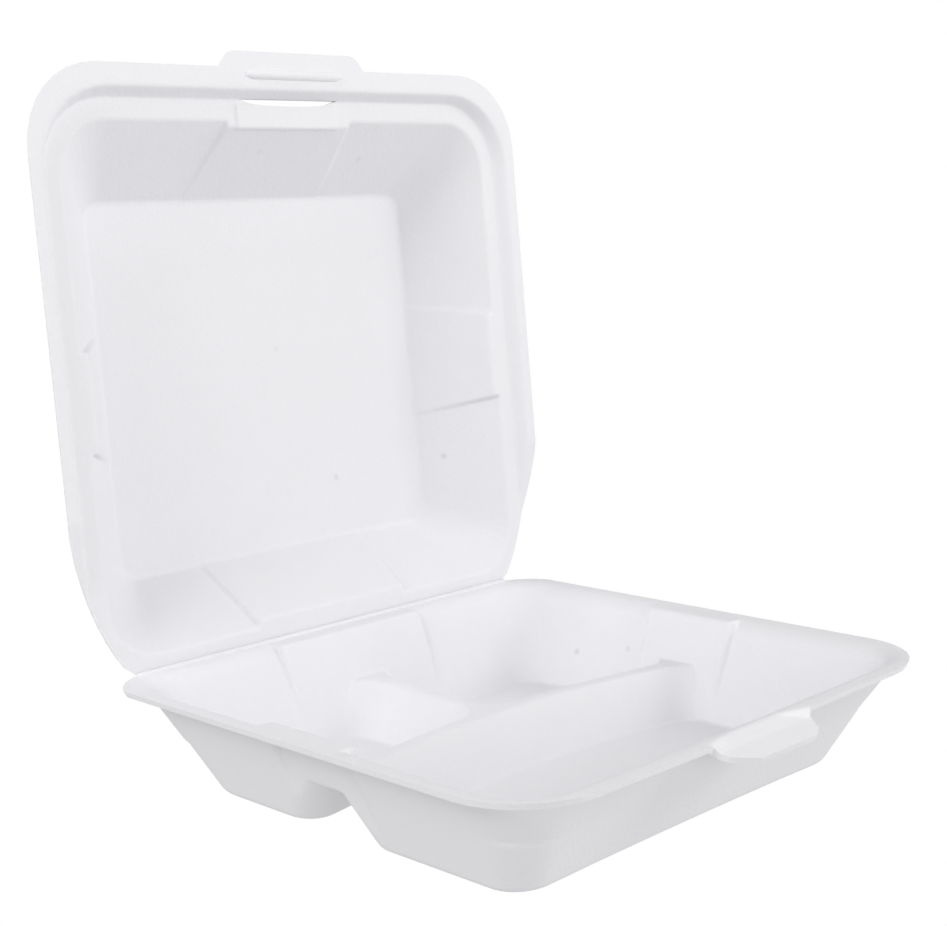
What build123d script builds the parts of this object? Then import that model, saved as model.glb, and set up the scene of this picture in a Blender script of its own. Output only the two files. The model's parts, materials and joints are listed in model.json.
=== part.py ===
from build123d import *
import os

# Hinged three-compartment food container, thermoformed in one piece from foam sheet.
# Millimetres.  +X is the container's right, -Y its front, +Z up.
# The origin is on the table, under the middle of the tray.

# ---- sheet ----
sheet = 2.2                 # thickness of the moulded sheet
growth = 2.5                # the same, measured level through a leaning wall

# ---- tray ----
tray_width = 223.0          # across the rim
tray_depth = 208.0          # front edge of the rim to the fold
tray_height = 40.0          # table to the top of the rim
front_corner = 26.0         # rim corner radii
back_corner = 13.0
rim_flat = 9.0              # rim edge to where the wall starts down, sides and front
back_flat = 6.5             # the same, from the fold
side_run = 18.0             # how far the walls lean in, from rim to floor
front_run = 22.0
back_run = 19.0
wall_corner = 17.0          # radius between two walls
foot_round = 4.5            # floor-to-wall radius, inside

# ---- panels: the middle of most walls stands inwards, and runs out away from the mouth ----
panel_step = 3.5            # how far, at the mouth
panel_centre = 2.0          # place of the side panels along Y
side_panel = 21.0           # half lengths
back_panel = 37.0
latch_panel = 31.0
panel_foot = 8.0            # height at which the tray's panels have run out
panel_crown = 6.0           # roof to where the lid's panels have run out

# ---- dividers ----
divider_height = 21.5       # table to the top of the dividers
divider_top = 6.0           # width of the flat top
divider_spread = 0.62       # how fast each face leans out, per height
cross_ends = 4.0            # centre of the cross divider, at its ends
cross_bow = 11.0            # how far its middle is set back from its ends

# ---- locking tongue on the front rim ----
tongue_root = 26.0          # half widths
tongue_tip = 17.0
tongue_reach = 9.0          # beyond the rim
tongue_start = 5.0          # where it starts down, inside the rim's edge
tongue_bend = 4.0           # where it flattens out, outside the rim's edge
tongue_drop = 5.6           # tip below the rim
tongue_round = 3.0

# ---- fold ----
closing_gap = 0.4           # tray rim to lid flange
hinge_gap = 0.35            # end of each half to the fold line
web = 0.8                   # thickness left at the fold
coin_run = 1.6              # length over which the sheet is pinched down to it

# ---- lid, drawn closed and opened at the end ----
rim_clear = 1.3             # tray rim to the skirt around it
skirt_drop = 4.9            # inner flange down to the outer flange
skirt_lean = 3.2            # how far the skirt leans out on the way
side_flange = 4.5           # width of the outer flange at the sides
front_flange = 8.5          # and at the front
lid_depth = 30.0            # mouth to the inside of the roof
side_ledge = 6.0            # edge of the tray's rim to the hollow, at the sides
front_ledge = 6.7           # and at the front
mouth_back = 6.0            # fold to the back of the hollow
mouth_corner = 20.0
roof_corner = 8.0
roof_round = 3.0
lid_side_run = 25.0         # how far the lid's walls lean in
lid_front_run = 27.0
lid_back_run = 23.0
skirt_end = 52.0            # fold to the back end of the full skirt
skirt_fade = 16.0           # length over which it runs out
cheek_reach = 55.0          # fold to where the lid's back corners are swept in
cheek_bulge = 6.0           # inset of the sweep from the lid's side, where it is cheek_mid
cheek_mid = 20.0            # from the fold

# ---- lid latch ----
tab_root = 36.5             # half widths of the finger tab
tab_tip = 32.0
tab_reach = 6.0
tab_round = 3.0
slot_half = 24.5
slot_width = 2.8
bead_half = 23.5
bead_radius = 1.4
bead_clear = 0.6            # tip of the tongue to the bead
pad_half = 26.0
pad_step = 3.2              # how far the latch pad stands into the hollow
pad_height = 3.0

open_angle = 94.3           # how far the lid stands open at rest

# ---- derived places ----
half_width = tray_width / 2
front_edge = -tray_depth / 2
fold_y = tray_depth / 2
rim_z = tray_height
lid_z = rim_z + closing_gap
skirt_out = rim_clear + skirt_lean
half_lid = half_width + skirt_out + side_flange
lid_reach = tray_depth + skirt_out + front_flange
lid_corner = front_corner + skirt_out
mouth_half = half_width - side_ledge
mouth_reach = tray_depth - front_ledge
hinge_half = half_width - back_corner
cross_half = half_width - rim_flat - side_run
outer_z = lid_z - skirt_drop


def plate(points, z):
    """Flat face through the given plan points."""
    return Plane.XY.offset(z) * make_face(Polyline(*points, close=True))


def rounded(face, corners, radius):
    """Round the face's corners nearest to the given plan points."""
    z = face.center().Z
    for x, y in corners:
        corner = face.vertices().sort_by_distance(Vector(x, y, z))[0]
        face = fillet(corner, radius)
    return face


def bar(outline, plane, half):
    """Solid with an outline drawn in a plane through the origin, half each side of it."""
    return extrude(plane * make_face(Polyline(*outline, close=True)), half, both=True)


def from_fold(reach):
    """Y of a place on the closed lid, from its distance to the fold."""
    return fold_y - reach


def walls(places, radius, z):
    """Rounded outline through a half width, a front and a back."""
    side, front, back = places
    corners = [(-side, front), (side, front), (side, back), (-side, back)]
    return rounded(plate(corners, z), corners, radius)


def panel(at_mouth, at_end, mouth_height, end_height, half):
    """Wedge that makes the middle of a +X wall stand inwards, thickest at the mouth."""
    edge = max(at_mouth, at_end) + panel_step
    outline = [(at_mouth - panel_step, mouth_height), (at_end, end_height)]
    outline += [(edge, end_height), (edge, mouth_height)]
    return bar(outline, Plane.XZ, half)


# ---- tray ----

def tray_walls(z, grow):
    """Half width, front and back of the tray's hollow at height z, enlarged by grow."""
    share = (rim_z - z) / (rim_z - sheet)
    side = half_width - rim_flat - side_run * share + grow
    front = front_edge + rim_flat + front_run * share - grow
    back = fold_y - back_flat - back_run * share + grow
    return side, front, back


def tray_panels(grow):
    """Wedges of the tray's two side panels and its back panel."""
    side, _, back = tray_walls(rim_z, grow)
    side_end, _, back_end = tray_walls(panel_foot, grow)
    right = panel(side, side_end, rim_z, panel_foot, side_panel - grow)
    right = Pos(0, panel_centre, 0) * right
    rear = panel(back, back_end, rim_z, panel_foot, back_panel - grow)
    return right + mirror(right, Plane.YZ) + Rot(0, 0, 90) * rear


def tray_form(low, grow):
    """The tray's hollow, or with grow its outside, from height low to the rim."""
    bottom = walls(tray_walls(low, grow), wall_corner + grow, low)
    top = walls(tray_walls(rim_z, grow), wall_corner + grow, rim_z)
    form = loft([bottom, top], ruled=True)
    floor = form.faces().sort_by(Axis.Z)[0]
    form = fillet(floor.edges(), foot_round + grow)
    return form - tray_panels(grow)


def cross_band(z, half):
    """Plan of the cross divider: a bowed band, run on past the walls."""
    reach = tray_width
    middle = cross_ends + cross_bow
    ends = middle - cross_bow * (reach / cross_half) ** 2
    front = ThreePointArc((-reach, ends - half), (0, middle - half), (reach, ends - half))
    back = ThreePointArc((reach, ends + half), (0, middle + half), (-reach, ends + half))
    right = Line(front @ 1, back @ 0)
    left = Line(back @ 1, front @ 0)
    return Plane.XY.offset(z) * make_face(front + right + back + left)


def long_band(z, half):
    """Plan of the long divider, from the cross divider to past the back wall."""
    start = cross_ends + cross_bow
    return plate([(-half, start), (half, start), (half, tray_depth), (-half, tray_depth)], z)


def ridges(top, half, low):
    """Both dividers as ridges with leaning faces, from height low up to top."""
    foot = half + divider_spread * (top - low)
    cross = loft([cross_band(low, foot), cross_band(top, half)], ruled=True)
    long = loft([long_band(low, foot), long_band(top, half)], ruled=True)
    return cross + long


def tray_rim():
    """Flat rim, pinched thin along the fold."""
    back = fold_y - hinge_gap
    front = [(-half_width, front_edge), (half_width, front_edge)]
    rear = [(half_width, back), (-half_width, back)]
    outline = plate(front + rear, rim_z - sheet)
    outline = rounded(outline, front, front_corner)
    outline = rounded(outline, rear, back_corner)
    low = rim_z - sheet
    pinch = [(back - coin_run, low), (back, rim_z - web), (fold_y, rim_z - web), (fold_y, low)]
    return extrude(outline, sheet) - bar(pinch, Plane.YZ, tray_width)


def tongue():
    """Locking tongue: a flared tab that slopes down and out from the front rim."""
    start_y = front_edge + tongue_start
    bend_y = front_edge - tongue_bend
    tip_y = front_edge - tongue_reach
    low = rim_z - tongue_drop
    bend_z = low + 0.4
    upper = [(start_y, rim_z), (bend_y, bend_z), (tip_y, low)]
    lower = [(y, z - sheet) for y, z in reversed(upper)]
    slab = bar(upper + lower, Plane.YZ, tongue_root)
    tips = [(tongue_tip, tip_y), (-tongue_tip, tip_y)]
    plan = [(-tongue_root, start_y), (tongue_root, start_y), (tongue_root, front_edge)]
    plan += tips + [(-tongue_root, front_edge)]
    plan = rounded(plate(plan, low - 2 * sheet), tips, tongue_round)
    return slab & extrude(plan, tongue_drop + 3 * sheet)


def tongue_notch():
    """Space over the tongue, where the rim is lowered."""
    start_y = front_edge + tongue_start
    tip_y = front_edge - tongue_reach
    low = rim_z - tongue_drop
    outline = [(start_y, rim_z), (front_edge - tongue_bend, low), (tip_y, low), (tip_y, rim_z)]
    return bar(outline, Plane.YZ, tongue_root)


def make_tray():
    """Rim and walls as one sheet, open underneath along the dividers."""
    half_top = divider_top / 2
    hollow = tray_form(sheet, 0) - ridges(divider_height, half_top, 0)
    outside = tray_form(0, growth)
    outside -= ridges(divider_height - sheet, half_top - growth + sheet * divider_spread, -sheet)
    rim = tray_rim() - tongue_notch()
    return rim + tongue() + outside - hollow


# ---- lid ----

def lid_walls(depth, grow):
    """Half width, front and back of the lid's hollow at a depth in from its mouth."""
    share = depth / lid_depth
    side = mouth_half - lid_side_run * share + grow
    front = from_fold(mouth_reach) + lid_front_run * share - grow
    back = from_fold(mouth_back) - lid_back_run * share + grow
    return side, front, back


def lid_panels(grow):
    """Wedges of the lid's four wall panels."""
    end = lid_depth - panel_crown
    top = lid_z + end
    side, front, back = lid_walls(0, grow)
    side_end, front_end, back_end = lid_walls(end, grow)
    right = panel(side, side_end, lid_z, top, side_panel - grow)
    right = Pos(0, panel_centre, 0) * right
    rear = panel(back, back_end, lid_z, top, back_panel - grow)
    fore = panel(-front, -front_end, lid_z, top, latch_panel - grow)
    return right + mirror(right, Plane.YZ) + Rot(0, 0, 90) * rear + Rot(0, 0, -90) * fore


def lid_form(depth, grow):
    """The lid's hollow, or with grow its outside, from the mouth up to a depth."""
    share = depth / lid_depth
    roof_radius = mouth_corner + (roof_corner - mouth_corner) * share
    mouth = walls(lid_walls(0, grow), mouth_corner + grow, lid_z)
    roof = walls(lid_walls(depth, grow), roof_radius + grow, lid_z + depth)
    form = loft([mouth, roof], ruled=True)
    top = form.faces().sort_by(Axis.Z)[-1]
    form = fillet(top.edges(), roof_round + grow / 2)
    return form - lid_panels(grow)


def skirt_form(low, high, grow):
    """Space inside the skirt, or with grow its outside, between two heights."""
    def outline(z):
        lean = skirt_lean * (lid_z - z) / skirt_drop
        side = half_width + rim_clear + lean + grow
        front = front_edge - rim_clear - lean - grow
        back = fold_y + skirt_end
        corners = [(-side, front), (side, front)]
        face = plate(corners + [(side, back), (-side, back)], z)
        return rounded(face, corners, front_corner + rim_clear + lean + grow)
    return loft([outline(low), outline(high)], ruled=True)


def lid_plan():
    """Plan of the closed lid: round in front, its back corners swept in to the hinge."""
    back = from_fold(hinge_gap)
    cheek = from_fold(cheek_reach)
    front = from_fold(lid_reach)
    mid = from_fold(cheek_mid)
    right = ThreePointArc((half_lid, cheek), (half_lid - cheek_bulge, mid), (hinge_half, back))
    left = ThreePointArc((-hinge_half, back), (cheek_bulge - half_lid, mid), (-half_lid, cheek))
    fold = Line((hinge_half, back), (-hinge_half, back))
    sides = Polyline((-half_lid, cheek), (-half_lid, front), (half_lid, front), (half_lid, cheek))
    face = Plane.XY.offset(outer_z) * make_face(right + fold + left + sides)
    face = rounded(face, [(-half_lid, front), (half_lid, front)], lid_corner)
    tips = [(tab_tip, front - tab_reach), (-tab_tip, front - tab_reach)]
    root = [(-tab_root, front + sheet), (tab_root, front + sheet)]
    roots = [(-tab_root, front), (tab_root, front)]
    tab = plate([root[0], root[1], roots[1], tips[0], tips[1], roots[0]], outer_z)
    return face + rounded(tab, tips, tab_round)


def lid_flange():
    """Inner flange, skirt and outer flange; the skirt runs out towards the hinge."""
    far = lid_reach + 2 * tab_reach
    fade = skirt_end - skirt_fade
    below = [(from_fold(-sheet), lid_z), (from_fold(fade), lid_z), (from_fold(skirt_end), outer_z)]
    below += [(from_fold(skirt_end), outer_z - sheet), (from_fold(-sheet), outer_z - sheet)]
    above = [(from_fold(far), outer_z + sheet), (from_fold(skirt_end), outer_z + sheet)]
    above += [(from_fold(fade), lid_z + sheet), (from_fold(fade), lid_z + 2 * sheet)]
    above += [(from_fold(far), lid_z + 2 * sheet)]
    back = from_fold(hinge_gap)
    pinch = [(back - coin_run, lid_z + sheet), (back, lid_z + web), (fold_y, lid_z + web)]
    pinch += [(fold_y, lid_z + sheet)]
    outer_space = bar(above, Plane.YZ, 2 * half_lid) - skirt_form(outer_z, lid_z + sheet, growth)
    flange = extrude(lid_plan(), skirt_drop + sheet)
    flange -= bar(below, Plane.YZ, 2 * half_lid) + skirt_form(outer_z, lid_z, 0)
    return flange - outer_space - bar(pinch, Plane.YZ, 2 * half_lid)


def latch_pad():
    """Thickened landing between the slot and the hollow."""
    front = from_fold(mouth_reach)
    outline = [(front - sheet, lid_z), (front + pad_step, lid_z), (front + pad_step, lid_z + pad_height)]
    outline += [(front - sheet, lid_z + pad_height)]
    return bar(outline, Plane.YZ, pad_half)


def latch_slot():
    """Slot for the tongue, in the bend between the inner flange and the skirt."""
    start = front_edge - rim_clear + slot_width / 4
    outline = [(start, outer_z), (start - slot_width, outer_z)]
    outline += [(start - slot_width, lid_z + 2 * sheet), (start, lid_z + 2 * sheet)]
    return bar(outline, Plane.YZ, slot_half)


def latch_bead():
    """Rounded bead on the outer flange, just outside the tongue's tip."""
    centre = front_edge - tongue_reach - bead_clear - bead_radius
    return Pos(0, centre, outer_z) * Rot(0, 90, 0) * Cylinder(bead_radius, 2 * bead_half)


def make_lid():
    """The lid, closed."""
    lid = lid_flange() + lid_form(lid_depth + sheet, growth)
    lid -= lid_form(lid_depth, 0)
    return lid + latch_pad() + latch_bead() - latch_slot()


fold = Axis((0, fold_y, rim_z), (1, 0, 0))
nodes = {
    "tray": make_tray(),
    "lid": make_lid().rotate(fold, -open_angle),
}
os.makedirs("parts", exist_ok=True)
for name, solid in nodes.items():
    export_step(solid, f"parts/{name}.step")
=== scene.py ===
import bpy
from collections import Counter
import bmesh
import json
import math
from mathutils import Matrix, Vector


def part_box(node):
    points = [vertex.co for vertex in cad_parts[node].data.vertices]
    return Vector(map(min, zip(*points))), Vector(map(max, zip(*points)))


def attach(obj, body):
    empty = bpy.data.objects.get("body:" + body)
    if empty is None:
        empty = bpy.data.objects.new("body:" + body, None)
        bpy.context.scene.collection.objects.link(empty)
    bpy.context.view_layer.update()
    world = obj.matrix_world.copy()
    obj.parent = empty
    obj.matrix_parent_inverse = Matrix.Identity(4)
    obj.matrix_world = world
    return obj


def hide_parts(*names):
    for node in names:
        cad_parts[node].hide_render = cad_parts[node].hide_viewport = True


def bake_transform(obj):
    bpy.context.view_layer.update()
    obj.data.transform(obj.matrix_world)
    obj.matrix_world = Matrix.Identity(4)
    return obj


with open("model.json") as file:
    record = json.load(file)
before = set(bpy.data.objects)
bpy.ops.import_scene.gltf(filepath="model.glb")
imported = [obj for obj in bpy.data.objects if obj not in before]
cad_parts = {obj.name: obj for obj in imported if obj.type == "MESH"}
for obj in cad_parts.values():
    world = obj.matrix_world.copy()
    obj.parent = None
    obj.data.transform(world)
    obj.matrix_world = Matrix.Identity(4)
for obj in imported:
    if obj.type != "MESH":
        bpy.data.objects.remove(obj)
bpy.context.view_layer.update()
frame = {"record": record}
mm = 0.001

# Places that the frame gives, in millimetres
joint = frame["record"]["behaviour"]["joints"][0]
foldY = joint["pos_m"][1] / mm
rimZ = joint["pos_m"][2] / mm
openAngle = -joint["range_deg"][0]
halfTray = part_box("tray")[1][0] / mm
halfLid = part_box("lid")[1][0] / mm
frontEdge = -foldY
sliver = 0.002


def takeUp(*obs):
    # leave only these selected, the first of them active
    if bpy.context.object and bpy.context.object.mode != "OBJECT":
        bpy.ops.object.mode_set(mode="OBJECT")
    bpy.ops.object.select_all(action="DESELECT")
    for ob in obs:
        ob.select_set(True)
    bpy.context.view_layer.objects.active = obs[0]


def pick(ob, test, kind="VERT"):
    # enter edit mode and select what passes the test of its place
    takeUp(ob)
    bpy.ops.object.mode_set(mode="EDIT")
    bpy.ops.mesh.select_mode(type=kind)
    bpy.ops.mesh.select_all(action="DESELECT")
    mesh = bmesh.from_edit_mesh(ob.data)
    parts = {"VERT": mesh.verts, "EDGE": mesh.edges, "FACE": mesh.faces}[kind]
    for part in parts:
        points = [part.co] if kind == "VERT" else [v.co for v in part.verts]
        if all(test(p / mm) for p in points):
            part.select = True
    mesh.select_flush_mode()
    bmesh.update_edit_mesh(ob.data)


def moveVerts(ob, shift):
    # push points about one by one: shift gives each point's move in millimetres
    takeUp(ob)
    for v in ob.data.vertices:
        v.co += Vector(shift(v.co / mm)) * mm
    ob.data.update()


def addModifier(ob, kind, **settings):
    takeUp(ob)
    modifier = ob.modifiers.new(kind.title(), kind)
    for name, value in settings.items():
        setattr(modifier, name, value)
    bpy.ops.object.modifier_apply(modifier=modifier.name)


def combine(ob, tool, operation, solver="EXACT"):
    # boolean with a tool that isn't kept
    addModifier(ob, "BOOLEAN", object=tool, operation=operation, solver=solver)
    bpy.data.objects.remove(tool, do_unlink=True)


def joinAll(obs):
    takeUp(*obs)
    bpy.ops.object.join()
    return obs[0]


def roundedPlate(name, ring, cuts=0, profiles=(0.5, 0.5, 0.5, 0.5)):
    # flat outline with rounded corners: left, right, front, back, height, four radii
    left, right, front, back, height, radii = ring
    middle = ((left + right) / 2 * mm, (front + back) / 2 * mm, height * mm)
    bpy.ops.mesh.primitive_plane_add(size=1, location=middle)
    ob = bpy.context.object
    ob.name = name
    ob.scale = ((right - left) * mm, (back - front) * mm, 1)
    bpy.ops.object.transform_apply(location=True, rotation=True, scale=True)
    corners = ((left, front), (right, front), (right, back), (left, back))
    for (x, y), radius, profile in zip(corners, radii, profiles):
        pick(ob, lambda p, x=x, y=y: abs(p.x - x) < 0.01 and abs(p.y - y) < 0.01)
        bpy.ops.mesh.bevel(affect="VERTICES", offset=radius * mm, segments=8, profile=profile)
    if cuts:
        for y in (front, back):
            pick(ob, lambda p, y=y: abs(p.y - y) < 0.01)
            bpy.ops.mesh.subdivide(number_cuts=cuts)
    bpy.ops.object.mode_set(mode="OBJECT")
    return ob


def loft(name, rings, cuts=0):
    # bridge a stack of outlines into one closed solid
    plates = [roundedPlate(name, ring, cuts) for ring in rings]
    ob = joinAll(plates)
    heights = [ring[4] for ring in rings]
    for height in heights[1:-1]:
        pick(ob, lambda p: abs(p.z - height) < 0.001, "FACE")
        bpy.ops.mesh.delete(type="ONLY_FACE")
    for low, high in zip(heights, heights[1:]):
        pick(ob, lambda p: min(abs(p.z - low), abs(p.z - high)) < 0.001, "VERT")
        bpy.ops.mesh.select_mode(type="EDGE")
        bpy.ops.mesh.bridge_edge_loops()
    bpy.ops.mesh.select_all(action="SELECT")
    bpy.ops.mesh.remove_doubles(threshold=0.00001)
    bpy.ops.mesh.normals_make_consistent(inside=False)
    bpy.ops.object.mode_set(mode="OBJECT")
    return ob


def widenRoot(ob, front, half):
    # spread the two points that were cut into the front edge
    moveVerts(ob, lambda p: (math.copysign(half, p.x) - p.x, 0, 0) if isRoot(p, front) else (0, 0, 0))


def isRoot(p, front):
    return abs(p.y - front) < 0.01 and abs(p.x) < 60


def block(name, low, high):
    # cube placed by its corners, in millimetres
    low, high = Vector(low) * mm, Vector(high) * mm
    bpy.ops.mesh.primitive_cube_add(size=1, location=(low + high) / 2)
    ob = bpy.context.object
    ob.name = name
    ob.scale = high - low
    bpy.ops.object.transform_apply(location=True, rotation=True, scale=True)
    return ob


def prism(ob, low, high, shrink, middle):
    # thicken a flat outline into a solid that narrows from one height to the other
    moveVerts(ob, lambda p: (0, 0, low - p.z))
    pick(ob, lambda p: True)
    move = {"value": (0, 0, (high - low) * mm)}
    bpy.ops.mesh.extrude_region_move(TRANSFORM_OT_translate=move)
    bpy.ops.transform.resize(value=(shrink, shrink, 1), center_override=(0, middle * mm, high * mm))
    bpy.ops.mesh.select_all(action="SELECT")
    bpy.ops.mesh.normals_make_consistent(inside=False)
    bpy.ops.object.mode_set(mode="OBJECT")
    return ob


def wedge(name, side, mouth, end, middle, halfMouth, halfEnd, heights, rounding):
    # panel that stands in from the named wall
    mouthZ, endZ = heights
    outer = max(mouth, end) + 40
    ob = block(name, (mouth, -halfMouth, min(heights)), (outer, halfMouth, max(heights)))
    slope = (end - mouth) / (endZ - mouthZ)
    spread = (halfEnd - halfMouth) / (endZ - mouthZ)

    def lean(p):
        away = p.z - mouthZ
        inner = slope * away if p.x < mouth + 1 else 0
        return inner, math.copysign(spread * away, p.y), 0
    moveVerts(ob, lean)
    face = max(mouth, end) + 1
    for edge in (-1, 1):
        pick(ob, lambda p: p.x < face and p.y * edge > 0, "EDGE")
        bpy.ops.mesh.bevel(offset=1.4 * mm, segments=3, affect="EDGES")
    if rounding:
        pick(ob, lambda p: abs(p.z - mouthZ) < 0.01 and p.x < mouth + 0.01, "EDGE")
        bpy.ops.mesh.bevel(offset=rounding * mm, segments=5, affect="EDGES")
    bpy.ops.object.mode_set(mode="OBJECT")
    moveVerts(ob, lambda p: (0, middle, 0))
    turn = {"right": 0, "left": 180, "back": 90, "front": -90}[side]
    ob.data.transform(Matrix.Rotation(math.radians(turn), 4, "Z"))
    if side == "left":
        moveVerts(ob, lambda p: (0, 2 * middle, 0))
    return ob


def formSheet(name, tools, recipe, cutZ, side):
    # drape a sheet over the joined tools and give it its thickness
    ob = joinAll(tools)
    ob.name = name
    addModifier(ob, "REMESH", mode="VOXEL", voxel_size=recipe["grain"] * mm, adaptivity=0)
    addModifier(ob, "SMOOTH", factor=0.5, iterations=recipe["soften"])
    takeUp(ob)
    bpy.ops.object.mode_set(mode="EDIT")
    bpy.ops.mesh.select_all(action="SELECT")
    bpy.ops.mesh.bisect(plane_co=(0, 0, cutZ * mm), plane_no=(0, 0, side), clear_outer=True)
    bpy.ops.object.mode_set(mode="OBJECT")
    addModifier(ob, "DECIMATE", ratio=recipe["thin"])
    addModifier(ob, "SOLIDIFY", thickness=recipe["sheet"] * mm, offset=1, use_rim=True)
    return ob


tray = {
    "sheet": 2.2,
    "grain": 0.7,             # size of the faces of the formed sheet
    "soften": 4,
    "thin": 0.2,              # share of those faces kept
    "corners": (30.0, 13.0),  # plan radii of the rim, front and back
    "rimFlat": (9.0, 9.0, 6.5),   # rim edge to the wall: sides, front, back
    "runs": (18.0, 22.0, 19.0),   # how far each wall leans in
    "rimRound": 8.5,
    "footRound": 1.8,
    "wallCorner": 17.0,
    "cornerTaper": 2.5,       # how much tighter the corners are at the divider tops, and again at the floor
    "dividerCorner": 12.0,
    "dividerTop": 21.5,
    "dividerHalf": 3.0,
    "dividerSpread": 0.62,
    "crossMiddle": 15.0,
    "crossBow": 11.0,
    "crossHalf": 84.5,
    "panelStep": 3.5,
    "frontDip": (0.75, 75.0),     # how far the front rim sags, and half its length
    "frontDipDepth": (-98.0, -84.0),
}
wallAngle = math.atan2(38, 18)


def trayWalls(z, grow=0.0):
    # left, right, front and back of the hollow at a height
    share = (rimZ - z) / (rimZ - tray["sheet"])
    side, front, back = tray["rimFlat"]
    sideRun, frontRun, backRun = tray["runs"]
    half = halfTray - side - sideRun * share + grow
    return -half, half, frontEdge + front + frontRun * share - grow, foldY - back - backRun * share + grow


def arc(radius, steps):
    # (distance out from the sharp corner, drop) down a rounded edge
    reach = radius * math.tan(wallAngle / 2)
    angles = [wallAngle * i / steps for i in range(steps + 1)]
    return [(reach - radius * math.sin(a), radius * (1 - math.cos(a))) for a in angles]


def trayWell():
    # space over the dividers, rolled over at the rim
    corner = tray["wallCorner"]
    reach = arc(tray["rimRound"], 5)[0][0]
    rings = [(*trayWalls(rimZ, reach), rimZ + 4, (corner + reach,) * 4)]
    for out, drop in arc(tray["rimRound"], 5):
        rings.append((*trayWalls(rimZ, out), rimZ - drop, (corner + out,) * 4))
    rings.append((*trayWalls(tray["dividerTop"]), tray["dividerTop"], (corner - tray["cornerTaper"],) * 4))
    return loft("well", rings)


def bow(x):
    return tray["crossBow"] * (x / tray["crossHalf"]) ** 2


def pocketRing(kind, z, inset, height, shrink):
    # outline of one compartment; inset draws the walls in for the floor's round
    left, right, front, back = trayWalls(z, -inset)
    away = tray["dividerHalf"] + tray["dividerSpread"] * (tray["dividerTop"] - z) + inset
    outer, inner = tray["wallCorner"] - tray["cornerTaper"] - shrink, tray["dividerCorner"] - shrink
    cross = tray["crossMiddle"]
    if kind == "front":
        return left, right, front, cross - away, height, (outer, outer, inner, inner)
    if kind == "left":
        return left, -away, cross + away, back, height, (inner, inner, inner, outer)
    return away, right, cross + away, back, height, (inner, inner, outer, inner)


def pocket(kind):
    top = tray["dividerTop"]
    floor = tray["sheet"]
    rings = [pocketRing(kind, top, 0.02, top + 3, 0), pocketRing(kind, top, 0, top, 0)]
    for out, rise in reversed(arc(tray["footRound"], 5)):
        rings.append(pocketRing(kind, floor, out, floor + rise, tray["cornerTaper"]))
    ob = loft(kind + "Pocket", rings, cuts=11)
    low = frontEdge + 18 if kind == "front" else foldY - 16
    high = tray["crossMiddle"]

    def bend(p):
        share = min(max((p.y - low) / (high - low), 0), 1)
        return 0, -bow(p.x) * share, 0
    moveVerts(ob, bend)
    return ob


def tongueRamp():
    # dips the front rim down onto the tongue
    ob = block("ramp", (-30, -118, 33.2), (30, frontEdge + 5, rimZ + 4))
    takeUp(ob)
    bpy.ops.object.mode_set(mode="EDIT")
    bpy.ops.mesh.select_all(action="SELECT")
    bpy.ops.mesh.bisect(plane_co=(0, -105 * mm, 0), plane_no=(0, 1, 0))
    bpy.ops.object.mode_set(mode="OBJECT")

    def shape(p):
        if p.z > rimZ:
            return 0, 0, 0
        rise = {-118: 0.0, -105: 3.8, -99: rimZ - 33.2 + 0.01}[round(p.y)]
        half = {-118: 27.0, -105: 25.0, -99: 11.0}[round(p.y)]
        return math.copysign(half, p.x) - p.x, 0, rise
    moveVerts(ob, shape)
    return ob


def trayOutline():
    side, front, back = halfTray, frontEdge, foldY - 0.35
    first, last = tray["corners"]
    ring = (-side, side, front, back, rimZ, (first, first, last, last))
    ob = roundedPlate("outline", ring, profiles=(0.5, 0.5, 0.36, 0.36))
    pick(ob, lambda p: abs(p.y - front) < 0.01)
    bpy.ops.mesh.subdivide(number_cuts=2)
    bpy.ops.object.mode_set(mode="OBJECT")
    widenRoot(ob, front, 26)
    pick(ob, lambda p: abs(p.y - front) < 0.01 and abs(p.x) < 26.5, "EDGE")
    bpy.ops.mesh.extrude_region_move(TRANSFORM_OT_translate={"value": (0, -11 * mm, 0)})
    bpy.ops.transform.resize(value=(20.5 / 26, 1, 1), center_override=(0, (front - 11) * mm, rimZ * mm))
    for x, offset in ((-20.5, 6.5), (20.5, 3)):
        pick(ob, lambda p, x=x: p.y < front - 8 and abs(p.x - x) < 0.1)
        bpy.ops.mesh.bevel(affect="VERTICES", offset=offset * mm, segments=1)
    bpy.ops.object.mode_set(mode="OBJECT")
    return prism(ob, rimZ + 0.5, -5, 0.85, 0)   # the cut edge leans in underneath


def makeTray():
    panelStep = tray["panelStep"]
    well = trayWell()
    plugs = [well] + [pocket(kind) for kind in ("front", "left", "right")]
    walls = trayWalls(rimZ)
    feet = trayWalls(8)
    sites = [
        ("right", walls[1], feet[1], 2, 21),
        ("left", walls[1], feet[1], 2, 21),
        ("back", walls[3], feet[3], 0, 37),
    ]
    for side, mouth, foot, middle, half in sites:
        for plug in plugs:
            tool = wedge("panel", side, mouth - panelStep, foot, middle, half, half, (rimZ, 8), 5.2)
            combine(plug, tool, "DIFFERENCE")
    over = block("over", (-140, -140, rimZ), (140, 130, rimZ + 8))
    sheet = formSheet("trayShell", [over, *plugs, tongueRamp()], tray, rimZ + 0.8, 1)
    combine(sheet, trayOutline(), "INTERSECT", "MANIFOLD")
    sag, reach = tray["frontDip"]
    full, none = tray["frontDipDepth"]

    def dip(p):
        along = max(0, 1 - (p.x / reach) ** 2) ** 2
        across = min(max((none - p.y) / (none - full), 0), 1)
        return 0, 0, -sag * along * across * min(max((p.z - 20) / 12, 0), 1)
    moveVerts(sheet, dip)
    return sheet


trayShell = makeTray()
print("tray formed", len(trayShell.data.polygons))


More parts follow.
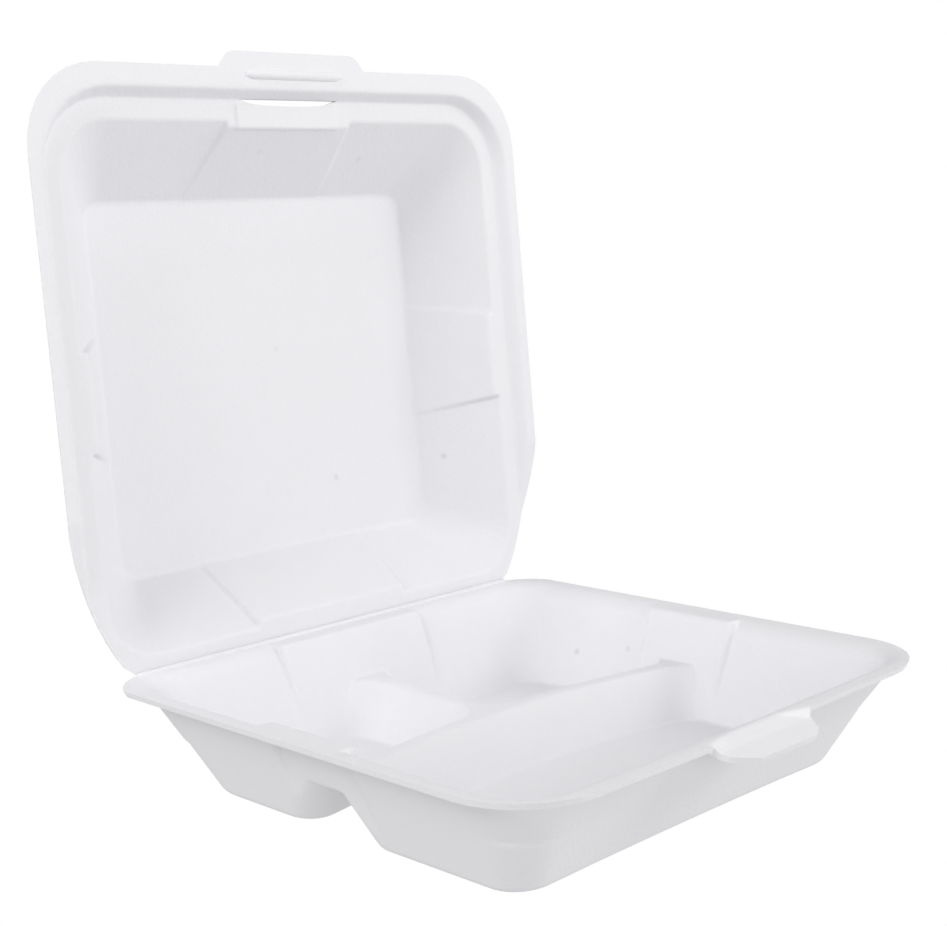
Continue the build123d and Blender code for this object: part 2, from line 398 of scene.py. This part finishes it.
# The lid is formed closed and opened at the end
lid = {
    "sheet": 2.2,
    "grain": 0.64,
    "soften": 3,
    "thin": 0.22,
    "gap": 0.4,              # tray rim to the lid's inner flange
    "skirtDrop": 4.9,
    "skirtIn": 1.3,          # tray rim to the top and foot of the skirt
    "skirtOut": 4.5,
    "skirtFade": (29.0, 60.0),
    "skirtCorner": 27.3,
    "mouth": (105.5, -97.3, 98.0, 20.0),    # half width, front, back, corner radius
    "roof": (80.5, -70.3, 75.0, 8.0),
    "depth": 30.0,
    "roofRound": 3.0,
    "front": -117.0,
    "corner": 30.5,
    "cheek": (22.0, 55.0),   # how far the back corners are swept in, and from where
    "tab": (36.5, 32.0, 6.0),
    "slot": (24.5, -102.9, -105.5),
    "bead": (23.5, 2.0, -114.2, 0.5),
    "pad": (25.5, 3.4, 0.8),
    "latchPanel": (31, 2.4, 0.8),    # half width, and how far it stands in at the mouth and roof
}
lidZ = rimZ + lid["gap"]
flangeZ = lidZ - lid["skirtDrop"]


def lidWalls(depth, grow=0.0):
    share = depth / lid["depth"]
    mouth, roof = lid["mouth"], lid["roof"]
    side, front, back, corner = [a + (b - a) * share for a, b in zip(mouth, roof)]
    return -side - grow, side + grow, front - grow, back + grow, corner


def lidSwing():
    # from the closed pose, in which the lid is formed, to the open one
    turn = Matrix.Rotation(math.radians(-openAngle), 4, "X")
    place = Matrix.Translation((0, foldY * mm, rimZ * mm))
    return place @ turn @ place.inverted()


def latchPanelRise(x, depth):
    # how far the latch panel stands in from the front wall
    half, atMouth, atRoof = lid["latchPanel"]
    return atMouth + (atRoof - atMouth) * depth / lid["depth"] if abs(x) < half else 0


def lidHollow():
    # from under the mouth up to the roof
    left, right, front, back, corner = lidWalls(0)
    rings = [(left, right, front, back, lidZ - 3, (corner,) * 4)]
    rings.append((left, right, front, back, lidZ, (corner,) * 4))
    roofZ = lidZ + lid["depth"]
    for out, drop in reversed(arc(lid["roofRound"], 3)):
        left, right, front, back, corner = lidWalls(lid["depth"], -out)
        rings.append((left, right, front, back, roofZ - drop, (corner,) * 4))
    return loft("hollow", rings)


def skirtSpace():
    # raised land that the inner flange lies on
    rings = []
    back = foldY + 12
    for out, z in ((lid["skirtOut"], flangeZ), (lid["skirtIn"], lidZ)):
        side = halfTray + out
        corner = lid["skirtCorner"] + out - lid["skirtIn"]
        rings.append((-side, side, frontEdge - out, back, z, (corner, corner, 5, 5)))
    low = rings[0]
    rings.insert(0, (*low[:4], flangeZ - 6, low[5]))
    return loft("skirt", rings)


def backRamp():
    # towards the hinge the outer flange rises to the inner one
    start, end = [foldY - reach for reach in reversed(lid["skirtFade"])]
    ob = block("rise", (-140, start, flangeZ - 6), (140, end, lidZ))
    pick(ob, lambda p: p.y > end - 0.01 and p.z > lidZ - 0.01 or p.y > end - 0.01 and p.z < flangeZ, "VERT")
    bpy.ops.object.mode_set(mode="OBJECT")

    def lower(p):
        atStart = p.y < start + 0.01 and p.z > flangeZ
        return 0, 0, flangeZ - 0.02 - p.z if atStart else 0
    moveVerts(ob, lower)
    land = block("land", (-140, end, flangeZ - 6), (140, foldY + 12, lidZ))
    return [ob, land]


def lidOutline():
    side, back = halfLid, foldY - 0.35
    reach, start = lid["cheek"]
    front, corner = lid["front"], lid["corner"]
    ring = (-side, side, front, back, lidZ, (corner, corner, reach, reach))
    ob = roundedPlate("outline", ring, profiles=(0.5, 0.5, 0.38, 0.38))
    stretch = start / reach
    swept = back - reach - 0.01
    moveVerts(ob, lambda p: (0, (back - p.y) * (1 - stretch), 0) if p.y > swept else (0, 0, 0))
    root, tip, out = lid["tab"]
    pick(ob, lambda p: abs(p.y - front) < 0.01)
    bpy.ops.mesh.subdivide(number_cuts=2)
    bpy.ops.object.mode_set(mode="OBJECT")
    widenRoot(ob, front, root)
    pick(ob, lambda p: abs(p.y - front) < 0.01 and abs(p.x) < root + 0.5, "EDGE")
    bpy.ops.mesh.extrude_region_move(TRANSFORM_OT_translate={"value": (0, -out * mm, 0)})
    bpy.ops.transform.resize(value=(tip / root, 1, 1), center_override=(0, (front - out) * mm, lidZ * mm))
    pick(ob, lambda p: p.y < front - out + 1)
    bpy.ops.mesh.bevel(affect="VERTICES", offset=3 * mm, segments=5, profile=0.5)
    bpy.ops.object.mode_set(mode="OBJECT")
    return prism(ob, flangeZ - 0.3, lidZ + 50, 0.8, foldY - 0.35)


def slotTool():
    # lens with one straight side
    half, near, far = lid["slot"]
    ob = block("slot", (-half, far, flangeZ - 8), (half, near, lidZ + 12))
    pick(ob, lambda p: p.y > near - 0.01, "VERT")
    bpy.ops.mesh.subdivide(number_cuts=9)
    bpy.ops.object.mode_set(mode="OBJECT")
    moveVerts(ob, lambda p: (0, -2.4 * (p.x / half) ** 4, 0) if p.y > near - 0.01 else (0, 0, 0))
    return ob


def latchBead():
    # half-round bead with tapered ends, on the outer flange
    half, radius, y, sunk = lid["bead"]
    bpy.ops.mesh.primitive_cylinder_add(vertices=24, radius=radius * mm, depth=2 * half * mm)
    ob = bpy.context.object
    ob.name = "bead"
    ob.data.transform(Matrix.Rotation(math.radians(90), 4, "Y"))
    takeUp(ob)
    bpy.ops.object.mode_set(mode="EDIT")
    bpy.ops.mesh.select_all(action="SELECT")
    bpy.ops.mesh.bisect(plane_co=(-(half - 3) * mm, 0, 0), plane_no=(1, 0, 0))
    bpy.ops.mesh.select_all(action="SELECT")
    bpy.ops.mesh.bisect(plane_co=((half - 3) * mm, 0, 0), plane_no=(1, 0, 0))
    pick(ob, lambda p: abs(abs(p.x) - half) < 0.01)
    bpy.ops.transform.resize(value=(1, 0.6, 0.6), center_override=(0, 0, 0))
    bpy.ops.object.mode_set(mode="OBJECT")
    moveVerts(ob, lambda p: (0, y, flangeZ + sunk))
    return ob


def dropSlivers(ob):
    # undo hair-thin faces, then the spare points left along straight edges by the trims
    takeUp(ob)
    bpy.ops.object.mode_set(mode="EDIT")
    bpy.ops.mesh.select_mode(type="VERT")
    bpy.ops.mesh.select_all(action="SELECT")
    bpy.ops.mesh.dissolve_degenerate(threshold=sliver * mm)
    bpy.ops.mesh.select_all(action="DESELECT")
    bpy.ops.object.mode_set(mode="OBJECT")
    edgesAt = Counter(end for edge in ob.data.edges for end in edge.vertices)
    for point in ob.data.vertices:
        point.select = edgesAt[point.index] == 2
    bpy.ops.object.mode_set(mode="EDIT")
    bpy.ops.mesh.dissolve_verts()
    bpy.ops.object.mode_set(mode="OBJECT")


def makeLid():
    hollow = lidHollow()
    mouth, end = lidWalls(0), lidWalls(lid["depth"])
    roofZ = lidZ + lid["depth"]
    latchHalf, atMouth, atRoof = lid["latchPanel"]
    sites = [
        ("right", mouth[1] - 3.5, end[1] - 1.0, 3.5, 18.5, 25, roofZ),
        ("left", mouth[1] - 3.5, end[1] - 1.0, 3.5, 18.5, 25, roofZ),
        ("back", mouth[3] - 3.2, end[3] - 1.0, 0, 38.5, 43, roofZ),
        ("front", -mouth[2] - atMouth, -end[2] - atRoof, 0, latchHalf, 36, roofZ),
    ]
    for side, inner, crown, middle, halfMouth, halfEnd, top in sites:
        tool = wedge("panel", side, inner, crown, middle, halfMouth, halfEnd, (lidZ, top), 0)
        combine(hollow, tool, "DIFFERENCE")
    skirt = skirtSpace()
    padHalf, padStep, proud = lid["pad"]
    for plug in (hollow, skirt):
        low = (-padHalf - 1.5, -103.8, lidZ - proud)
        pad = block("pad", low, (padHalf - 1.5, mouth[2] + padStep, lidZ + 3))
        combine(plug, pad, "DIFFERENCE")
    under = block("under", (-145, -145, flangeZ - 8), (145, foldY + 12, flangeZ))
    tools = [under, hollow, skirt, *backRamp()]
    sheet = formSheet("lidShell", tools, lid, flangeZ - 0.8, -1)
    combine(sheet, lidOutline(), "INTERSECT", "MANIFOLD")
    combine(sheet, slotTool(), "DIFFERENCE", "MANIFOLD")
    dropSlivers(sheet)
    sheet = joinAll([sheet, latchBead()])
    sheet.data.transform(lidSwing())
    return sheet


lidShell = makeLid()
print("lid formed", len(lidShell.data.polygons))


hinge = {"half": 97.0, "behind": 0.2, "ahead": 2.4, "under": 0.9, "proud": 1.2, "round": 0.9}


def makeHinge():
    # the pinched line of foam that the lid turns on
    low = (-hinge["half"], foldY - hinge["ahead"], rimZ - hinge["under"])
    high = (hinge["half"], foldY + hinge["behind"], rimZ + hinge["proud"])
    ob = block("hingeLine", low, high)
    pick(ob, lambda p: True, "EDGE")
    bpy.ops.mesh.bevel(offset=hinge["round"] * mm, segments=4, affect="EDGES")
    bpy.ops.object.mode_set(mode="OBJECT")
    return ob


hingeLine = makeHinge()


foam = {
    "colour": (0.80, 0.798, 0.82, 1),
    "roughness": 0.6,
    "bead": 750.0,         # cells to the metre
    "beadDepth": 0.22,
}


dimpleShade = {                # painted shade of the small dimples where the mould's air holes touch, and how much of the colour each keeps where that painted shade is deepest
    "radius": 1.9,
    "core": 0.3,         # share of the radius that is evenly dark
    "lidRoof": [(6, 112, 0.95), (32, 55, 0.91)],      # across, away from the fold
    "lidRight": [(57, 21, 0.88)],                     # away from the fold, depth in the lid
    "lidFront": [(-9, 10, 0.95), (47, 15, 0.94)],     # across, depth in the lid
    "trayRight": [(56, 17, 0.87), (30, 22, 0.91)],    # along, height
}


def dimpleShadePlaces():
    # each mark lies on its own wall
    closed = [((x, foldY - away, lidZ + lid["depth"]), left) for x, away, left in dimpleShade["lidRoof"]]
    for away, depth, left in dimpleShade["lidRight"]:
        closed.append(((lidWalls(depth)[1], foldY - away, lidZ + depth), left))
    for x, depth, left in dimpleShade["lidFront"]:
        closed.append(((x, lidWalls(depth)[2] + latchPanelRise(x, depth), lidZ + depth), left))
    places = [(lidSwing() @ (Vector(spot) * mm), left) for spot, left in closed]
    for y, z, left in dimpleShade["trayRight"]:
        places.append((Vector((trayWalls(z)[1], y, z)) * mm, left))
    return places


def paintDimpleShade(tree, place, colour):
    # painted shade: darkens a colour in a small soft spot round each dimple, standing in for the shade in
    # its shallow pit
    for spot, left in dimpleShadePlaces():
        away = tree.nodes.new("ShaderNodeVectorMath")
        away.operation = "DISTANCE"
        away.inputs[1].default_value = spot
        shade = tree.nodes.new("ShaderNodeMapRange")
        shade.interpolation_type = "SMOOTHSTEP"
        shade.inputs["From Min"].default_value = dimpleShade["radius"] * dimpleShade["core"] * mm
        shade.inputs["From Max"].default_value = dimpleShade["radius"] * mm
        shade.inputs["To Min"].default_value = left
        shade.inputs["To Max"].default_value = 1
        darker = tree.nodes.new("ShaderNodeVectorMath")
        darker.operation = "SCALE"
        tree.links.new(place, away.inputs[0])
        tree.links.new(away.outputs["Value"], shade.inputs["Value"])
        tree.links.new(colour, darker.inputs[0])
        tree.links.new(shade.outputs["Result"], darker.inputs["Scale"])
        colour = darker.outputs["Vector"]
    return colour


def foamMaterial():
    material = bpy.data.materials.new("whiteFoam")
    material.use_nodes = True
    nodes, links = material.node_tree.nodes, material.node_tree.links
    shader = nodes["Principled BSDF"]
    place = nodes.new("ShaderNodeTexCoord")
    cells = nodes.new("ShaderNodeTexVoronoi")
    cells.inputs["Scale"].default_value = foam["bead"]
    mottle = nodes.new("ShaderNodeTexNoise")
    mottle.inputs["Scale"].default_value = 60
    mottle.inputs["Detail"].default_value = 4
    ramp = nodes.new("ShaderNodeMix")
    ramp.data_type = "RGBA"
    ramp.inputs[6].default_value = tuple(c * 0.985 for c in foam["colour"][:3]) + (1,)
    ramp.inputs[7].default_value = foam["colour"]
    bump = nodes.new("ShaderNodeBump")
    bump.inputs["Strength"].default_value = foam["beadDepth"]
    bump.inputs["Distance"].default_value = 0.0004
    links.new(place.outputs["Object"], cells.inputs["Vector"])
    links.new(place.outputs["Object"], mottle.inputs["Vector"])
    links.new(mottle.outputs["Fac"], ramp.inputs[0])
    # painted shade of the mould's dimples is laid on the foam colour here
    dimpleShadedColour = paintDimpleShade(material.node_tree, place.outputs["Object"], ramp.outputs[2])
    links.new(dimpleShadedColour, shader.inputs["Base Color"])
    links.new(cells.outputs["Distance"], bump.inputs["Height"])
    links.new(bump.outputs["Normal"], shader.inputs["Normal"])
    shader.inputs["Roughness"].default_value = foam["roughness"]
    shader.inputs["Specular IOR Level"].default_value = 0.3
    return material


whiteFoam = foamMaterial()
for ob in (trayShell, lidShell, hingeLine):
    takeUp(ob)
    bpy.ops.object.shade_smooth_by_angle(angle=math.radians(50))
    ob.data.materials.clear()
    ob.data.materials.append(whiteFoam)

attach(trayShell, "tray")
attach(lidShell, "lid")
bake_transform(hingeLine)
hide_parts("tray")
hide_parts("lid")
print("pieces ride on their bodies")


studio = {
    "floor": 6.0,
    "backdrop": 1.0,     # how bright the paper looks
    "overhead": 0.0,     # light from straight above
    "around": 0.95,      # light from the horizon
    "bounce": 0.70,      # light that comes back up from the floor
    "softBoxes": {       # place and watts of each soft box
        "leftHigh": ((-1.3, 0, 1.3), 18),
        "frontRight": ((1.1, -1.25, 1.15), 14),
        "frontLow": ((-0.3, -1.8, 0.25), 7),
        "rightLow": ((1.6, -0.2, 0.5), 2),
    },
}


def paperWhite(tree, glow):
    # white to look at, with its own strength as a light; gives back that strength's socket
    path = tree.nodes.new("ShaderNodeLightPath")
    strength = tree.nodes.new("ShaderNodeMix")
    strength.inputs["A"].default_value = studio["bounce"]
    strength.inputs["B"].default_value = studio["backdrop"]
    tree.links.new(path.outputs["Is Camera Ray"], strength.inputs["Factor"])
    tree.links.new(strength.outputs["Result"], glow.inputs["Strength"])
    glow.inputs["Color"].default_value = (1, 1, 1, 1)
    return strength.inputs["A"]


bpy.ops.mesh.primitive_plane_add(size=studio["floor"], location=(0, 0, 0))
floor = bpy.context.object
floor.name = "floor"
paper = bpy.data.materials.new("paleFloor")
paper.use_nodes = True
paperNodes = paper.node_tree.nodes
paperNodes.remove(paperNodes["Principled BSDF"])
glow = paperNodes.new("ShaderNodeEmission")
paperWhite(paper.node_tree, glow)
paper.node_tree.links.new(glow.outputs["Emission"], paperNodes["Material Output"].inputs["Surface"])
floor.data.materials.append(paper)

world = bpy.data.worlds.new("studio")
world.use_nodes = True
skyNodes, skyLinks = world.node_tree.nodes, world.node_tree.links
skyLight = paperWhite(world.node_tree, skyNodes["Background"])
direction = skyNodes.new("ShaderNodeTexCoord")
height = skyNodes.new("ShaderNodeSeparateXYZ")
gradient = skyNodes.new("ShaderNodeMapRange")
gradient.inputs["To Min"].default_value = studio["around"]
gradient.inputs["To Max"].default_value = studio["overhead"]
skyLinks.new(direction.outputs["Generated"], height.inputs["Vector"])
skyLinks.new(height.outputs["Z"], gradient.inputs["Value"])
skyLinks.new(gradient.outputs["Result"], skyLight)
bpy.context.scene.world = world


def softBox(name, place, power, target=(0, 0, 0.1), size=1.0):
    bpy.ops.object.light_add(type="AREA", location=place)
    light = bpy.context.object
    light.name = name
    light.data.shape = "SQUARE"
    light.data.size = size
    light.data.energy = power
    light.rotation_euler = (Vector(target) - Vector(place)).to_track_quat("-Z", "Y").to_euler()
    return light


for name, (place, power) in studio["softBoxes"].items():
    softBox(name, place, power)

camera = {
    "place": (-0.43600, -0.40988, 0.20938),
    "turn": (81.0966, 1.6893, -45.4287),
    "lens": 64.72,
}
bpy.ops.object.camera_add(location=camera["place"], rotation=[math.radians(a) for a in camera["turn"]])
view = bpy.context.object
view.data.lens = camera["lens"]
view.data.sensor_width = 36
view.data.dof.use_dof = False
view.data.clip_start = 0.01
bpy.context.scene.camera = view
bpy.context.scene.view_settings.view_transform = "Standard"

takeUp(trayShell)
bpy.ops.object.select_all(action="DESELECT")
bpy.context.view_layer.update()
